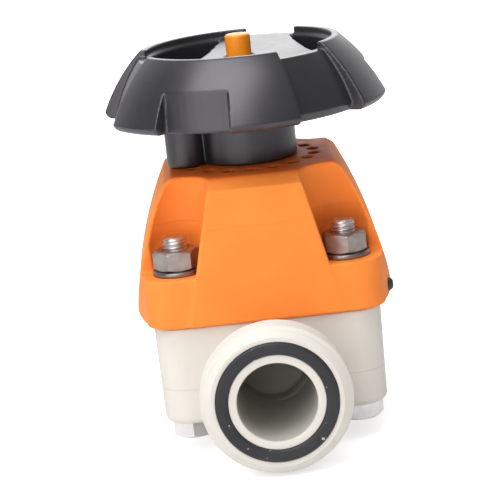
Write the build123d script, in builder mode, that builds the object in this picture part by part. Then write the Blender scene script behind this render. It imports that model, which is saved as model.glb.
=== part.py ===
"""Diaphragm valve with a 25 mm bore, hand operated, of the weir type.

Millimetres. X runs across the pipe, Y along it and Z up the spindle. The origin is the
centre of the flat face under the mounting foot. The valve is drawn fully open.
"""

import os
from math import cos, radians, sin

from build123d import *

os.makedirs("parts", exist_ok=True)

# Driving dimensions: pipe ends
pipe_height = 25.0
bore_radius = 12.5
bore_depth = 43.0
end_face_y = 61.0
thread_radius = 23.9
thread_start_y = 59.6
thread_end_y = 50.0
end_face_radius = 21.4
thread_runout = 1.6
neck_radius = 18.7
ring_mean_radius = 17.25
ring_section_radius = 2.0
ring_groove_clearance = 0.05
ring_stand_proud = 1.1

# Driving dimensions: body block and foot
block_half_x = 36.6
block_half_y = 33.2
block_corner_radius = 9.5
block_top_above_pipe = 19.0
block_bottom_below_pipe = 13.2
block_draft_angle = 1.0
block_bottom_rounding = 2.2
foot_half_x = 19.0
foot_half_y = 15.0
foot_rounding = 3.0
insert_spacing = 25.0
insert_radius = 4.5
insert_bore_radius = 2.5
insert_length = 10.0
insert_bore_depth = 8.0
fit_clearance = 0.05

# Driving dimensions: flow passage over the weir
throat_radius = 12.0
weir_crest_above_pipe = 8.0
well_radius = 17.5
weir_half_top = 3.5
weir_half_foot = 12.0
well_floor_above_pipe = 1.0

# Driving dimensions: diaphragm and its stud
diaphragm_radius = 22.5
diaphragm_rim_thickness = 3.0
diaphragm_centre_thickness = 3.9
diaphragm_dome_rise = 1.0
diaphragm_dome_fullness = 0.75
diaphragm_boss_radius = 8.0
diaphragm_web_thickness = 2.2
stud_plate_radius = 4.5
stud_plate_thickness = 1.2
stud_cover = 1.3
stud_radius = 2.4
stud_length_in_compressor = 7.0

# Driving dimensions: bonnet
joint_gap = 0.3
bonnet_half_y = 34.5
bonnet_corner_x = 38.5
bonnet_corner_radius = 9.5
bonnet_side_bulge = 3.5
bonnet_side_low = (41.9, 0.0)
bonnet_side_mid = (37.3, 23.0)
bonnet_side_high = (28.5, -1.8)
deck_half_x = 26.0
deck_bevel_height = 3.0
deck_bevel_depth = 5.0
panel_proud = 0.5
panel_half_bottom = 24.9
panel_half_top = 15.0
ledge_height = 15.8
pocket_radius = 9.0
pocket_straight_height = 9.0
pocket_top_radius = 9.4
pocket_top_x = 24.0
pocket_top_y = 31.0
side_panel_half_y = 18.8
side_panel_top_half_y = 21.6
cavity_radius = 17.0
compressor_headroom = 1.8
retainer_recess = 1.5
guide_slot_half_width = 3.2
guide_slot_reach = 20.5
lock_hole_count = 18
lock_ring_radius = 21.0
lock_hole_radius = 1.75
lock_hole_depth = 5.4
leak_plug_radius = 2.2
leak_plug_y = -17.0
leak_plug_above_joint = 3.2
leak_plug_reach = 3.2
leak_plug_depth = 4.0
leak_plug_rounding = 1.1

# Driving dimensions: bolts, nuts and washers (8 mm thread)
bolt_x = 27.0
bolt_y = 23.0
bolt_radius = 3.95
bolt_hole_radius = 4.3
hex_across_flats = 13.0
bolt_head_height = 5.3
bolt_tip_above_nut = 4.0
bolt_tip_rounding = 1.2
nut_height = 6.4
washer_radius = 8.0
washer_bore_radius = 4.2
washer_thickness = 1.6
head_turns = (26.0, -1.0, 12.0, 40.0)
nut_turns = (8.4, 35.0, 20.0, 3.0)

# Driving dimensions: spindle train
stroke = 12.0
running_clearance = 0.05
side_clearance = 0.3
spindle_radius = 6.0
spindle_top_below_bush = 4.6
spindle_foot_depth = 7.0
cross_pin_radius = 1.5
compressor_radius = 13.0
compressor_face_radius = 17.0
compressor_hub_radius = 9.0
compressor_height = 15.0
compressor_rim_height = 8.2
compressor_wing_half_width = 2.9
compressor_wing_reach = 20.0
indicator_radius = 4.15
indicator_height = 18.4
indicator_rounding = 1.4
indicator_gap = 0.5
indicator_tenon_radius = 2.5
indicator_tenon_length = 8.0

# Driving dimensions: drive bush and its bearing
bush_collar_radius = 13.0
bush_collar_height = 6.0
bush_radius = 9.5
bush_cover = 6.2
bearing_radius = 14.5
thrust_washer_thickness = 1.5
retainer_height = 4.0
retainer_bore_radius = 7.0
deck_plate_thickness = 10.0
bush_ring_section_radius = 0.9
bush_hole_clearance = 0.4

# Driving dimensions: handwheel
hub_radius = 15.6
hub_gap = 0.3
wheel_above_deck = 16.1
wheel_height = 21.8
wheel_outer_radius = 46.3
wheel_rim_inset = 14.0
wheel_rim_width = 2.0
wheel_widest_above_bottom = 2.4
wheel_flank_inset = 5.7
wheel_flank_above_bottom = 12.4
wheel_foot_inset = 2.7
wheel_foot_bulge = 0.68
rim_lip_height = 2.4
dish_depth = 2.4
web_thickness = 8.3
lobe_count = 3
lobe_azimuth = -22.5
notch_half_angle = 16.2
notch_depth_bottom = 4.7
notch_depth_middle = 3.3
notch_top_inset = 13.7
notch_foot_step = 1.5
grip_half_angle = 15.5
grip_top_above_bottom = 14.0
grip_floor_inset_bottom = 4.9
grip_floor_inset_top = 6.3
skirt_inset_bottom = 7.8
skirt_inset_top = 9.8
pocket_depth = 4.8
finger_pocket_width = 8.8
pocket_wall = 1.0
lock_pocket_chord = 12.0
lock_pocket_azimuth = -104.0
lock_pocket_first = -170.0
pocket_rib_azimuth = -53.0
pocket_rib_angle = 4.0
wheel_pin_radius = 1.5
wheel_pin_above_deck = 9.3
wheel_pin_reach_into_bush = 2.9

# Driving dimensions: wheel lock
lock_azimuth = -80.0
lug_radius = 6.3
lock_pin_radius = 1.5
lock_pin_bore_radius = 1.8
lock_pin_tip_above_hub = 1.0
lock_pin_chamfer = 0.5
lock_travel = 6.0
button_radius = 3.9
button_chamber_radius = 4.3
button_height = 5.0
button_rounding = 1.0
button_socket_depth = 3.0
button_stand = 4.0
spring_chamber_above_deck = 15.3
spring_wire_radius = 0.4
spring_coil_radius = 3.0
spring_turns = 5

# Levels and radii worked out from the driving dimensions
joint_z = pipe_height + block_top_above_pipe
block_bottom_z = pipe_height - block_bottom_below_pipe
diaphragm_top_z = joint_z + diaphragm_rim_thickness
dome_underside_z = joint_z + diaphragm_dome_rise
diaphragm_centre_top_z = dome_underside_z + diaphragm_centre_thickness
compressor_bottom_z = diaphragm_centre_top_z + side_clearance
compressor_top_z = compressor_bottom_z + compressor_height
cavity_top_z = compressor_top_z + compressor_headroom
retainer_bottom_z = cavity_top_z + retainer_recess
lower_washer_z = retainer_bottom_z + retainer_height + running_clearance
collar_bottom_z = lower_washer_z + thrust_washer_thickness + running_clearance
upper_washer_z = collar_bottom_z + bush_collar_height + running_clearance
deck_plate_bottom_z = upper_washer_z + thrust_washer_thickness + running_clearance
deck_z = deck_plate_bottom_z + deck_plate_thickness
bonnet_bottom_z = joint_z + joint_gap
bonnet_half_x = bonnet_corner_x + bonnet_side_bulge
ledge_z = bonnet_bottom_z + ledge_height
nut_seat_z = ledge_z + washer_thickness
bolt_tip_z = nut_seat_z + nut_height + bolt_tip_above_nut
hub_bottom_z = deck_z + hub_gap
wheel_bottom_z = deck_z + wheel_above_deck
wheel_rim_z = wheel_bottom_z + wheel_height
dish_edge_z = wheel_rim_z - rim_lip_height
dish_z = dish_edge_z - dish_depth
web_underside_z = dish_z - web_thickness
pocket_floor_z = dish_z - pocket_depth
bush_top_z = dish_z - bush_cover
spindle_top_z = bush_top_z - spindle_top_below_bush
spindle_bottom_z = compressor_top_z - spindle_foot_depth
wheel_rim_radius = wheel_outer_radius - wheel_rim_inset
wheel_rim_inner_radius = wheel_rim_radius - wheel_rim_width
wheel_flank_radius = wheel_outer_radius - wheel_flank_inset
wheel_foot_radius = wheel_outer_radius - wheel_foot_inset
pocket_outer_radius = wheel_rim_inner_radius - pocket_wall
finger_pocket_chord = pocket_outer_radius - finger_pocket_width
hex_circumradius = hex_across_flats / 2 / cos(radians(30))
bolt_places = [(-bolt_x, -bolt_y), (bolt_x, -bolt_y), (bolt_x, bolt_y), (-bolt_x, bolt_y)]


def at_azimuth(radius, azimuth):
    """Point in plan at an azimuth counted from -Y towards +X."""
    return (radius * sin(radians(azimuth)), -radius * cos(radians(azimuth)))


lock_place = at_azimuth(lock_ring_radius, lock_azimuth)


# Valve body: two pipe ends, a bolting block, the weir and a mounting foot
crest_z = pipe_height + weir_crest_above_pipe
saddle_depth = joint_z - crest_z
saddle_radius = (well_radius**2 + saddle_depth**2) / (2 * saddle_depth)
saddle_axis_z = crest_z + saddle_radius
groove_half_width = ring_section_radius + ring_groove_clearance
groove_depth = 2 * ring_section_radius - ring_stand_proud

with BuildPart() as valve_body:
    with BuildSketch(Plane.XY.offset(joint_z)):
        RectangleRounded(2 * block_half_x, 2 * block_half_y, block_corner_radius)
    extrude(amount=-(joint_z - block_bottom_z), taper=block_draft_angle)
    fillet(valve_body.faces().sort_by(Axis.Z)[0].edges(), radius=block_bottom_rounding)
    with BuildSketch(Plane.YZ):
        with BuildLine():
            Polyline(
                (end_face_y, pipe_height),
                (end_face_y, pipe_height + end_face_radius),
                (thread_start_y, pipe_height + thread_radius),
                (thread_end_y, pipe_height + thread_radius),
                (thread_end_y - thread_runout, pipe_height + neck_radius),
                (-thread_end_y + thread_runout, pipe_height + neck_radius),
                (-thread_end_y, pipe_height + thread_radius),
                (-thread_start_y, pipe_height + thread_radius),
                (-end_face_y, pipe_height + end_face_radius),
                (-end_face_y, pipe_height),
                close=True,
            )
        make_face()
    revolve(axis=Axis((0, 0, pipe_height), (0, 1, 0)))
    with BuildSketch(Plane.XY):
        RectangleRounded(2 * foot_half_x, 2 * foot_half_y, foot_rounding)
    extrude(amount=block_bottom_z)
    # Throat, diaphragm well and the dam that carries the weir
    with Locations(Plane((0, 0, pipe_height), z_dir=(0, 1, 0))):
        Cylinder(throat_radius, 2 * end_face_y, mode=Mode.SUBTRACT)
    with BuildSketch(Plane.XY.offset(joint_z)):
        Circle(well_radius)
    extrude(amount=-(joint_z - pipe_height - well_floor_above_pipe), mode=Mode.SUBTRACT)
    with BuildSketch(Plane.YZ):
        with BuildLine():
            Polyline(
                (-weir_half_foot, pipe_height - bore_radius),
                (-weir_half_top, crest_z),
                (-weir_half_top, joint_z),
                (weir_half_top, joint_z),
                (weir_half_top, crest_z),
                (weir_half_foot, pipe_height - bore_radius),
                close=True,
            )
        make_face()
    extrude(amount=well_radius, both=True)
    with BuildSketch(Plane.XZ.offset(-weir_half_foot)):
        with Locations((0, saddle_axis_z)):
            Circle(saddle_radius)
    extrude(amount=2 * weir_half_foot, mode=Mode.SUBTRACT)
    # Port bores, and face grooves for the union rings
    for side in (-1, 1):
        with BuildSketch(Plane((0, side * end_face_y, pipe_height), z_dir=(0, -side, 0))):
            Circle(bore_radius)
        extrude(amount=bore_depth, mode=Mode.SUBTRACT)
        with BuildSketch(Plane((0, side * end_face_y, pipe_height), z_dir=(0, -side, 0))):
            Circle(ring_mean_radius + groove_half_width)
            Circle(ring_mean_radius - groove_half_width, mode=Mode.SUBTRACT)
        extrude(amount=groove_depth, mode=Mode.SUBTRACT)
    with Locations(*[(x, y, joint_z) for x, y in bolt_places]):
        Hole(bolt_hole_radius, joint_z - block_bottom_z)
    with BuildSketch(Plane.XY):
        with GridLocations(insert_spacing, 0, 2, 1):
            Circle(insert_radius + fit_clearance)
    extrude(amount=insert_length, mode=Mode.SUBTRACT)
valve_body.part.label = "valve_body"
export_step(valve_body.part, "parts/valve_body.step")

# Union face rings, one in each pipe end
ring_centre_inset = groove_depth - ring_section_radius
for name, side in (("front_union_ring", -1), ("rear_union_ring", 1)):
    with BuildPart() as union_ring:
        centre_y = side * (end_face_y - ring_centre_inset)
        with Locations(Plane((0, centre_y, pipe_height), z_dir=(0, 1, 0))):
            Torus(ring_mean_radius, ring_section_radius)
    union_ring.part.label = name
    export_step(union_ring.part, f"parts/{name}.step")

# Brass inserts moulded into the foot
with BuildPart() as foot_inserts:
    with BuildSketch(Plane.XY):
        with GridLocations(insert_spacing, 0, 2, 1):
            Circle(insert_radius)
    extrude(amount=insert_length)
    with BuildSketch(Plane.XY):
        with GridLocations(insert_spacing, 0, 2, 1):
            Circle(insert_bore_radius)
    extrude(amount=insert_bore_depth, mode=Mode.SUBTRACT)
foot_inserts.part.label = "foot_inserts"
export_step(foot_inserts.part, "parts/foot_inserts.step")

# Diaphragm: clamped rim, thin flexing web and a thick centre moulded over the stud plate
web_top_z = joint_z + diaphragm_rim_thickness
stud_plate_z = dome_underside_z + stud_cover
stud_top_z = compressor_bottom_z + stud_length_in_compressor

with BuildPart() as diaphragm:
    with BuildSketch(Plane.XZ):
        with BuildLine():
            underside = ThreePointArc(
                (0, dome_underside_z),
                (well_radius / 2, joint_z + diaphragm_dome_fullness * diaphragm_dome_rise),
                (well_radius, joint_z),
            )
            Polyline(
                underside @ 1,
                (diaphragm_radius, joint_z),
                (diaphragm_radius, diaphragm_top_z),
                (well_radius, diaphragm_top_z),
                (diaphragm_boss_radius + diaphragm_web_thickness, web_top_z),
                (diaphragm_boss_radius, diaphragm_centre_top_z),
                (0, diaphragm_centre_top_z),
                underside @ 0,
            )
        make_face()
    revolve(axis=Axis.Z)
    with BuildSketch(Plane.XY.offset(stud_plate_z)):
        Circle(stud_plate_radius + fit_clearance)
    extrude(amount=stud_plate_thickness, mode=Mode.SUBTRACT)
    with BuildSketch(Plane.XY.offset(stud_plate_z)):
        Circle(stud_radius + fit_clearance)
    extrude(amount=diaphragm_centre_thickness, mode=Mode.SUBTRACT)
diaphragm.part.label = "diaphragm"
export_step(diaphragm.part, "parts/diaphragm.step")

with BuildPart() as diaphragm_stud:
    with BuildSketch(Plane.XY.offset(stud_plate_z)):
        Circle(stud_plate_radius)
    extrude(amount=stud_plate_thickness)
    with BuildSketch(Plane.XY.offset(stud_plate_z)):
        Circle(stud_radius)
    extrude(amount=stud_top_z - stud_plate_z)
diaphragm_stud.part.label = "diaphragm_stud"
export_step(diaphragm_stud.part, "parts/diaphragm_stud.step")

# Compressor: rounded face that presses the diaphragm on the weir, hub and two guide wings
cross_pin_z = compressor_top_z - spindle_foot_depth / 2
compressor_wing_bottom_z = diaphragm_top_z + stroke + side_clearance

with BuildPart() as compressor:
    with BuildSketch(Plane.XZ):
        with Locations((0, compressor_bottom_z + compressor_face_radius)):
            Circle(compressor_face_radius)
        with Locations((0, compressor_bottom_z)):
            Rectangle(
                compressor_radius,
                compressor_rim_height,
                align=(Align.MIN, Align.MIN),
                mode=Mode.INTERSECT,
            )
    revolve(axis=Axis.Z)
    with BuildSketch(Plane.XY.offset(compressor_top_z)):
        Circle(compressor_hub_radius)
    extrude(amount=-(compressor_height - compressor_rim_height / 2))
    with BuildSketch(Plane.XY.offset(compressor_wing_bottom_z)):
        Rectangle(2 * compressor_wing_reach, 2 * compressor_wing_half_width)
    extrude(amount=compressor_top_z - compressor_wing_bottom_z)
    with BuildSketch(Plane.XY.offset(compressor_top_z)):
        Circle(spindle_radius + fit_clearance)
    extrude(amount=-spindle_foot_depth, mode=Mode.SUBTRACT)
    with BuildSketch(Plane.XY.offset(compressor_bottom_z)):
        Circle(stud_radius + fit_clearance)
    extrude(amount=stud_length_in_compressor, mode=Mode.SUBTRACT)
    with Locations(Plane((0, 0, cross_pin_z), z_dir=(0, 1, 0))):
        Cylinder(cross_pin_radius + fit_clearance, 2 * compressor_hub_radius, mode=Mode.SUBTRACT)
compressor.part.label = "compressor"
export_step(compressor.part, "parts/compressor.step")

with BuildPart() as cross_pin:
    with Locations(Plane((0, 0, cross_pin_z), z_dir=(0, 1, 0))):
        Cylinder(cross_pin_radius, 2 * compressor_hub_radius - side_clearance)
cross_pin.part.label = "cross_pin"
export_step(cross_pin.part, "parts/cross_pin.step")

# Spindle: slides without turning, carries the compressor below and the indicator above
with BuildPart() as spindle:
    with BuildSketch(Plane.XY.offset(spindle_bottom_z)):
        Circle(spindle_radius)
    extrude(amount=spindle_top_z - spindle_bottom_z)
    with BuildSketch(Plane.XY.offset(spindle_top_z)):
        Circle(indicator_tenon_radius + fit_clearance)
    extrude(amount=-(indicator_tenon_length + side_clearance), mode=Mode.SUBTRACT)
    with Locations(Plane((0, 0, cross_pin_z), z_dir=(0, 1, 0))):
        Cylinder(cross_pin_radius + fit_clearance, 2 * spindle_radius, mode=Mode.SUBTRACT)
spindle.part.label = "spindle"
export_step(spindle.part, "parts/spindle.step")

with BuildPart() as position_indicator:
    with BuildSketch(Plane.XY.offset(spindle_top_z)):
        Circle(indicator_radius)
    extrude(amount=indicator_height)
    fillet(position_indicator.edges().group_by(Axis.Z)[-1], radius=indicator_rounding)
    with BuildSketch(Plane.XY.offset(spindle_top_z)):
        Circle(indicator_tenon_radius)
    extrude(amount=-indicator_tenon_length)
position_indicator.part.label = "position_indicator"
export_step(position_indicator.part, "parts/position_indicator.step")

# Bonnet pocket for the front left nut: a well around the bolt that leans outward as it
# rises, and opens to the corner between the front panel and the side panel
panel_top_z = deck_z - deck_bevel_height
pocket_bend_z = ledge_z + pocket_straight_height
corner_clear = 2 * bonnet_half_x


def panel_half_width(z):
    """Half the width of the front panel at a level."""
    share = (z - bonnet_bottom_z) / (panel_top_z - bonnet_bottom_z)
    return panel_half_bottom + share * (panel_half_top - panel_half_bottom)


with BuildPart() as corner_pocket:
    with BuildSketch(Plane((-bolt_x, -bolt_y, ledge_z))):
        Circle(pocket_radius)
    extrude(amount=pocket_straight_height)
    with BuildSketch(Plane((-bolt_x, -bolt_y, pocket_bend_z))):
        Circle(pocket_radius)
    with BuildSketch(Plane((-pocket_top_x, -pocket_top_y, deck_z))):
        Circle(pocket_top_radius)
    loft()
    for z, corner_x, corner_y, side_y in (
        (ledge_z, bolt_x, bolt_y, side_panel_half_y),
        (deck_z, pocket_top_x, pocket_top_y, side_panel_top_half_y),
    ):
        with BuildSketch(Plane.XY.offset(z)):
            with BuildLine():
                Polyline(
                    (-panel_half_width(z), -corner_clear),
                    (-panel_half_width(z), -corner_y),
                    (-corner_x, -side_y),
                    (-corner_clear, -side_y),
                    (-corner_clear, -corner_clear),
                    close=True,
                )
            make_face()
    loft(ruled=True)

# Bonnet: one moulding that holds the bearing and clamps the diaphragm
bush_hole_radius = bush_radius + bush_hole_clearance
leak_plug_z = bonnet_bottom_z + leak_plug_above_joint
bonnet_side_y = bonnet_half_y - bonnet_corner_radius

with BuildPart() as bonnet:
    with BuildSketch(Plane.XY.offset(bonnet_bottom_z)):
        RectangleRounded(2 * bonnet_corner_x, 2 * bonnet_half_y, bonnet_corner_radius)
        with BuildLine():
            bulge = ThreePointArc(
                (bonnet_corner_x, -bonnet_side_y), (bonnet_half_x, 0), (bonnet_corner_x, bonnet_side_y)
            )
            Line(bulge @ 1, bulge @ 0)
        make_face()
        mirror(about=Plane.YZ)
    extrude(amount=deck_z - bonnet_bottom_z)
    with BuildSketch(Plane.XZ):
        with BuildLine():
            flank = ThreePointArc(
                (bonnet_side_low[0], bonnet_bottom_z + bonnet_side_low[1]),
                (bonnet_side_mid[0], bonnet_bottom_z + bonnet_side_mid[1]),
                (bonnet_side_high[0], deck_z + bonnet_side_high[1]),
            )
            Polyline(flank @ 1, (deck_half_x, deck_z), (0, deck_z), (0, bonnet_bottom_z), flank @ 0)
        make_face()
        mirror(about=Plane.YZ)
    extrude(amount=bonnet_half_y, both=True, mode=Mode.INTERSECT)
    with BuildSketch(Plane.YZ):
        with BuildLine():
            Polyline(
                (0, bonnet_bottom_z),
                (bonnet_half_y, bonnet_bottom_z),
                (bonnet_half_y, panel_top_z),
                (bonnet_half_y - deck_bevel_depth, deck_z),
                (0, deck_z),
                close=True,
            )
        make_face()
        mirror(about=Plane.YZ)
    extrude(amount=bonnet_half_x, both=True, mode=Mode.INTERSECT)
    with BuildSketch(Plane.XZ):
        with BuildLine():
            Polyline(
                (-panel_half_bottom, bonnet_bottom_z),
                (panel_half_bottom, bonnet_bottom_z),
                (panel_half_top, panel_top_z),
                (-panel_half_top, panel_top_z),
                close=True,
            )
        make_face()
    extrude(amount=bonnet_half_y + panel_proud, both=True)
    add(corner_pocket.part, mode=Mode.SUBTRACT)
    mirror(corner_pocket.part, about=Plane.YZ, mode=Mode.SUBTRACT)
    mirror(corner_pocket.part, about=Plane.XZ, mode=Mode.SUBTRACT)
    mirror(mirror(corner_pocket.part, about=Plane.XZ, mode=Mode.PRIVATE), about=Plane.YZ, mode=Mode.SUBTRACT)
    # Hollow for the diaphragm rim, the compressor with its guide slots, and the bearing
    with BuildSketch(Plane.XY.offset(bonnet_bottom_z)):
        Circle(diaphragm_radius + fit_clearance)
    extrude(amount=diaphragm_top_z - bonnet_bottom_z, mode=Mode.SUBTRACT)
    with BuildSketch(Plane.XY.offset(bonnet_bottom_z)):
        Circle(cavity_radius)
        Rectangle(2 * guide_slot_reach, 2 * guide_slot_half_width)
    extrude(amount=cavity_top_z - bonnet_bottom_z, mode=Mode.SUBTRACT)
    with BuildSketch(Plane.XY.offset(cavity_top_z)):
        Circle(bearing_radius)
    extrude(amount=deck_plate_bottom_z - cavity_top_z, mode=Mode.SUBTRACT)
    with BuildSketch(Plane.XY.offset(deck_z)):
        Circle(bush_hole_radius)
    extrude(amount=-deck_plate_thickness, mode=Mode.SUBTRACT)
    with BuildSketch(Plane.XY.offset(deck_z)):
        with PolarLocations(lock_ring_radius, lock_hole_count, lock_azimuth - 90):
            Circle(lock_hole_radius)
    extrude(amount=-lock_hole_depth, mode=Mode.SUBTRACT)
    with Locations(*[(x, y, ledge_z) for x, y in bolt_places]):
        Hole(bolt_hole_radius, ledge_z - bonnet_bottom_z)
    with BuildSketch(Plane((bonnet_half_x, leak_plug_y, leak_plug_z), z_dir=(1, 0, 0))):
        Circle(leak_plug_radius + fit_clearance)
    extrude(amount=-(leak_plug_depth + bonnet_half_x - bonnet_corner_x), mode=Mode.SUBTRACT)
bonnet.part.label = "bonnet"
export_step(bonnet.part, "parts/bonnet.step")

with BuildPart() as leak_plug:
    plug_inner_x = bonnet_corner_x - leak_plug_depth + fit_clearance
    with BuildSketch(Plane((plug_inner_x, leak_plug_y, leak_plug_z), z_dir=(1, 0, 0))):
        Circle(leak_plug_radius)
    extrude(amount=leak_plug_depth + leak_plug_reach)
    fillet(leak_plug.edges().group_by(Axis.X)[-1], radius=leak_plug_rounding)
leak_plug.part.label = "leak_plug"
export_step(leak_plug.part, "parts/leak_plug.step")

# Bolts from below, nuts and washers on the ledges
with BuildPart() as bonnet_bolts:
    for (x, y), turn in zip(bolt_places, head_turns):
        with BuildSketch(Plane((x, y, block_bottom_z))):
            RegularPolygon(hex_circumradius, 6, rotation=turn - 90)
        extrude(amount=-bolt_head_height)
        with BuildSketch(Plane((x, y, block_bottom_z))):
            Circle(bolt_radius)
        extrude(amount=bolt_tip_z - block_bottom_z)
    fillet(bonnet_bolts.edges().group_by(Axis.Z)[-1], radius=bolt_tip_rounding)
bonnet_bolts.part.label = "bonnet_bolts"
export_step(bonnet_bolts.part, "parts/bonnet_bolts.step")

with BuildPart() as bonnet_nuts:
    for (x, y), turn in zip(bolt_places, nut_turns):
        with BuildSketch(Plane((x, y, nut_seat_z))):
            RegularPolygon(hex_circumradius, 6, rotation=turn - 90)
            Circle(bolt_radius + fit_clearance, mode=Mode.SUBTRACT)
        extrude(amount=nut_height)
bonnet_nuts.part.label = "bonnet_nuts"
export_step(bonnet_nuts.part, "parts/bonnet_nuts.step")

with BuildPart() as nut_washers:
    for x, y in bolt_places:
        with BuildSketch(Plane((x, y, ledge_z))):
            Circle(washer_radius)
            Circle(washer_bore_radius, mode=Mode.SUBTRACT)
        extrude(amount=washer_thickness)
nut_washers.part.label = "nut_washers"
export_step(nut_washers.part, "parts/nut_washers.step")

# Bearing: retainer ring below, a thrust washer on each side of the bush collar
with BuildPart() as bearing_retainer:
    with BuildSketch(Plane.XY.offset(retainer_bottom_z)):
        Circle(bearing_radius - fit_clearance)
        Circle(retainer_bore_radius, mode=Mode.SUBTRACT)
    extrude(amount=retainer_height)
bearing_retainer.part.label = "bearing_retainer"
export_step(bearing_retainer.part, "parts/bearing_retainer.step")

for name, washer_z in (("lower_thrust_washer", lower_washer_z), ("upper_thrust_washer", upper_washer_z)):
    with BuildPart() as thrust_washer:
        with BuildSketch(Plane.XY.offset(washer_z)):
            Circle(bearing_radius - side_clearance)
            Circle(bush_hole_radius, mode=Mode.SUBTRACT)
        extrude(amount=thrust_washer_thickness)
    thrust_washer.part.label = name
    export_step(thrust_washer.part, f"parts/{name}.step")

# Drive bush: threaded on the spindle, turned by the handwheel through a pin
bush_ring_z = deck_z - deck_plate_thickness / 2
bush_ring_mean_radius = bush_hole_radius - running_clearance - bush_ring_section_radius
bush_ring_groove_radius = bush_ring_mean_radius - bush_ring_section_radius - fit_clearance
wheel_pin_z = deck_z + wheel_pin_above_deck
wheel_pin_inner_y = bush_radius - wheel_pin_reach_into_bush

with BuildPart() as drive_bush:
    with BuildSketch(Plane.XY.offset(collar_bottom_z)):
        Circle(bush_collar_radius)
    extrude(amount=bush_collar_height)
    with BuildSketch(Plane.XY.offset(collar_bottom_z)):
        Circle(bush_radius)
    extrude(amount=bush_top_z - collar_bottom_z)
    with BuildSketch(Plane.XY.offset(collar_bottom_z)):
        Circle(spindle_radius + running_clearance)
    extrude(amount=bush_top_z - collar_bottom_z, mode=Mode.SUBTRACT)
    with BuildSketch(Plane.XY.offset(bush_ring_z - bush_ring_section_radius - fit_clearance)):
        Circle(bush_radius)
        Circle(bush_ring_groove_radius, mode=Mode.SUBTRACT)
    extrude(amount=2 * (bush_ring_section_radius + fit_clearance), mode=Mode.SUBTRACT)
    with BuildSketch(Plane((0, wheel_pin_inner_y, wheel_pin_z), z_dir=(0, 1, 0))):
        Circle(wheel_pin_radius + fit_clearance)
    extrude(amount=bush_radius, mode=Mode.SUBTRACT)
drive_bush.part.label = "drive_bush"
export_step(drive_bush.part, "parts/drive_bush.step")

with BuildPart() as bush_seal_ring:
    with Locations((0, 0, bush_ring_z)):
        Torus(bush_ring_mean_radius, bush_ring_section_radius)
bush_seal_ring.part.label = "bush_seal_ring"
export_step(bush_seal_ring.part, "parts/bush_seal_ring.step")

with BuildPart() as wheel_pin:
    with BuildSketch(Plane((0, wheel_pin_inner_y + fit_clearance, wheel_pin_z), z_dir=(0, 1, 0))):
        Circle(wheel_pin_radius)
    extrude(amount=hub_radius - wheel_pin_inner_y - side_clearance)
wheel_pin.part.label = "wheel_pin"
export_step(wheel_pin.part, "parts/wheel_pin.step")

# Handwheel cutters: a full height notch, a half height finger grip and the top pockets
flank_z = wheel_bottom_z + wheel_flank_above_bottom
widest_z = wheel_bottom_z + wheel_widest_above_bottom
grip_top_z = wheel_bottom_z + grip_top_above_bottom
half_pitch = 180 / lobe_count

with BuildPart() as notch_cutter:
    with BuildSketch(Plane.XZ):
        with BuildLine():
            floor_arc = ThreePointArc(
                (wheel_outer_radius - notch_depth_bottom, widest_z),
                (wheel_flank_radius - notch_depth_middle, flank_z),
                (wheel_outer_radius - notch_top_inset, dish_edge_z),
            )
            Polyline(
                floor_arc @ 1,
                (wheel_rim_inner_radius, dish_edge_z),
                (wheel_rim_inner_radius, wheel_rim_z + side_clearance),
                (2 * wheel_outer_radius, wheel_rim_z + side_clearance),
                (2 * wheel_outer_radius, wheel_bottom_z),
                (wheel_foot_radius - notch_depth_bottom + notch_foot_step, wheel_bottom_z),
                floor_arc @ 0,
            )
        make_face()
    revolve(axis=Axis.Z, revolution_arc=2 * notch_half_angle)

with BuildPart() as grip_cutter:
    with BuildSketch(Plane.XZ):
        with BuildLine():
            Polyline(
                (wheel_outer_radius - grip_floor_inset_bottom, wheel_bottom_z),
                (wheel_outer_radius - grip_floor_inset_top, grip_top_z),
                (2 * wheel_outer_radius, grip_top_z),
                (2 * wheel_outer_radius, wheel_bottom_z),
                close=True,
            )
        make_face()
    revolve(axis=Axis.Z, revolution_arc=2 * grip_half_angle)

finger_azimuths = (lobe_azimuth, lobe_azimuth + 2 * half_pitch)
front_span = (pocket_rib_azimuth + pocket_rib_angle / 2, finger_azimuths[0] + half_pitch)
right_span = (finger_azimuths[1] - half_pitch, finger_azimuths[1] + half_pitch)
lock_span = (lock_pocket_first, pocket_rib_azimuth - pocket_rib_angle / 2)
pocket_reach = 2 * wheel_rim_radius

with BuildPart() as dish_pockets:
    for azimuth, chord, (first, last) in (
        (finger_azimuths[0], finger_pocket_chord, front_span),
        (finger_azimuths[1], finger_pocket_chord, right_span),
        (lock_pocket_azimuth, lock_pocket_chord, lock_span),
    ):
        with BuildSketch(Plane.XY.offset(pocket_floor_z)):
            Circle(pocket_outer_radius)
            with Locations(at_azimuth(chord, azimuth)):
                Rectangle(pocket_reach, pocket_reach, azimuth, (Align.CENTER, Align.MAX), Mode.INTERSECT)
            with BuildLine():
                Polyline(
                    (0, 0),
                    at_azimuth(pocket_reach, first),
                    at_azimuth(pocket_reach, (first + last) / 2),
                    at_azimuth(pocket_reach, last),
                    close=True,
                )
            make_face(mode=Mode.INTERSECT)
        extrude(amount=wheel_rim_z - pocket_floor_z)

# Handwheel: hub, dished web, skirt and the lug that carries the lock
button_bottom_z = pocket_floor_z + button_stand - button_height
chamber_floor_z = deck_z + spring_chamber_above_deck
lock_tip_z = hub_bottom_z + lock_pin_tip_above_hub

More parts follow.
